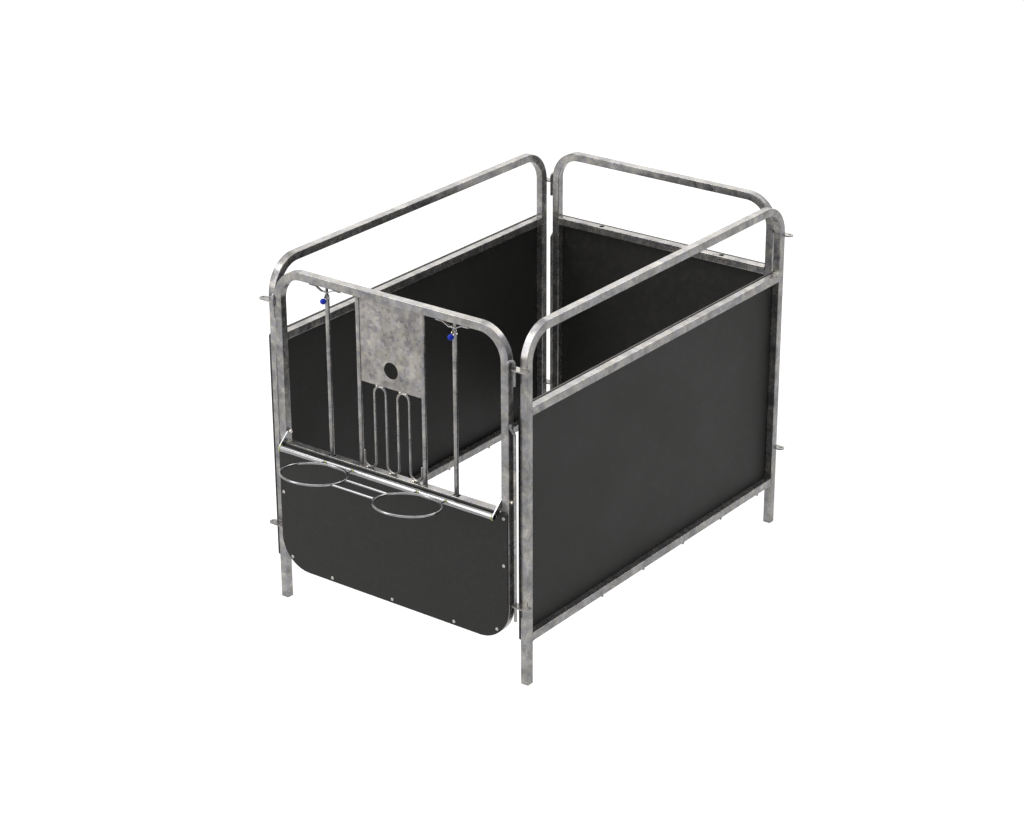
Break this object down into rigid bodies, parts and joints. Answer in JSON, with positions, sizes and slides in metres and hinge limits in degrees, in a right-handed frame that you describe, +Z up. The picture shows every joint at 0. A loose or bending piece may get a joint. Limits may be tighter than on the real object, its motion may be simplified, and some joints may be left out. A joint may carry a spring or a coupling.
{
  "type": "calf pen",
  "caption": "Free-standing calf pen with boarded side panels, a lift-off feeding gate with teat plate, swinging head bars and fold-up bucket rings, and a lift-off back panel.",
  "frame": {"origin": "centre of the bottom of the bounding box, on the floor", "axes": "+X to the right of a person who stands outside and faces the gate, +Y from the gate to the back panel, +Z up"},
  "size_m": [1.143, 1.927, 1.28],
  "materials": {
    "galvanised_tube": "hot-dip galvanised, mottled, half matt",
    "bright_zinc": "bright zinc plated",
    "spangled_sheet": "galvanised with visible zinc spangles",
    "black_board": "solid black plastic board, fine dull texture",
    "blue_plastic": "smooth blue plastic",
    "zinc_bolt": "zinc plated bolt"
  },
  "bodies": {
    "side_panels": {"left_side_frame": "galvanised_tube", "left_side_mid_rail": "galvanised_tube", "left_side_low_rail": "galvanised_tube", "left_side_board": "black_board", "left_front_upper_eye": "galvanised_tube", "left_front_lower_eye": "galvanised_tube", "left_rear_upper_eye": "galvanised_tube", "left_rear_lower_eye": "galvanised_tube", "right_side_frame": "galvanised_tube", "right_side_mid_rail": "galvanised_tube", "right_side_low_rail": "galvanised_tube", "right_side_board": "black_board", "right_front_upper_eye": "galvanised_tube", "right_front_lower_eye": "galvanised_tube", "right_rear_upper_eye": "galvanised_tube", "right_rear_lower_eye": "galvanised_tube"},
    "gate": {"gate_frame": "galvanised_tube", "gate_mid_rail": "galvanised_tube", "gate_board": "black_board", "left_gate_hook": "galvanised_tube", "left_gate_rod": "galvanised_tube", "right_gate_hook": "galvanised_tube", "right_gate_rod": "galvanised_tube", "left_fixed_bar": "galvanised_tube", "right_fixed_bar": "galvanised_tube", "teat_plate": "spangled_sheet", "zigzag_wire": "galvanised_tube", "left_guide": "galvanised_tube", "right_guide": "galvanised_tube", "left_bar_pin": "zinc_bolt", "right_bar_pin": "zinc_bolt", "left_pivot_bolt": "zinc_bolt", "left_pivot_nut": "zinc_bolt", "left_stop_bolt": "zinc_bolt", "right_pivot_bolt": "zinc_bolt", "right_pivot_nut": "zinc_bolt", "right_stop_bolt": "zinc_bolt"},
    "left_bar": {"left_swing_bar": "galvanised_tube", "left_latch_bolt": "zinc_bolt"},
    "right_bar": {"right_swing_bar": "galvanised_tube", "right_latch_bolt": "zinc_bolt"},
    "left_latch": {"left_latch_lever": "galvanised_tube", "left_latch_ball": "blue_plastic"},
    "right_latch": {"right_latch_lever": "galvanised_tube", "right_latch_ball": "blue_plastic"},
    "holder": {"holder_tube": "bright_zinc", "left_holder_arm": "bright_zinc", "right_holder_arm": "bright_zinc", "left_bucket_ring": "bright_zinc", "right_bucket_ring": "bright_zinc", "rear_link_rod": "bright_zinc", "front_link_rod": "bright_zinc"},
    "back_panel": {"back_frame": "galvanised_tube", "back_mid_rail": "galvanised_tube", "back_board": "black_board", "left_back_hook": "galvanised_tube", "left_back_rod": "galvanised_tube", "right_back_hook": "galvanised_tube", "right_back_rod": "galvanised_tube"}
  },
  "joints": [
    {"name": "gate_lift", "type": "slide", "parent": "side_panels", "child": "gate", "axis": [0, 0, 1], "range_m": [0, 0.09]},
    {"name": "back_lift", "type": "slide", "parent": "side_panels", "child": "back_panel", "axis": [0, 0, 1], "range_m": [0, 0.09]},
    {"name": "holder_fold", "type": "hinge", "parent": "gate", "child": "holder", "pos_m": [0, -0.66278, 0.6735], "axis": [-1, 0, 0], "range_deg": [0, 85]},
    {"name": "left_bar_swing", "type": "hinge", "parent": "gate", "child": "left_bar", "pos_m": [-0.27, -0.66278, 0.6195], "axis": [0, -1, 0], "range_deg": [-9, 12]},
    {"name": "right_bar_swing", "type": "hinge", "parent": "gate", "child": "right_bar", "pos_m": [0.27, -0.66278, 0.6195], "axis": [0, 1, 0], "range_deg": [-9, 12]},
    {"name": "left_latch_tip", "type": "hinge", "parent": "left_bar", "child": "left_latch", "pos_m": [-0.27, -0.66278, 1.211], "axis": [-1, 0, 0], "range_deg": [-9, 25]},
    {"name": "right_latch_tip", "type": "hinge", "parent": "right_bar", "child": "right_latch", "pos_m": [0.27, -0.66278, 1.211], "axis": [-1, 0, 0], "range_deg": [-9, 25]}
  ]
}
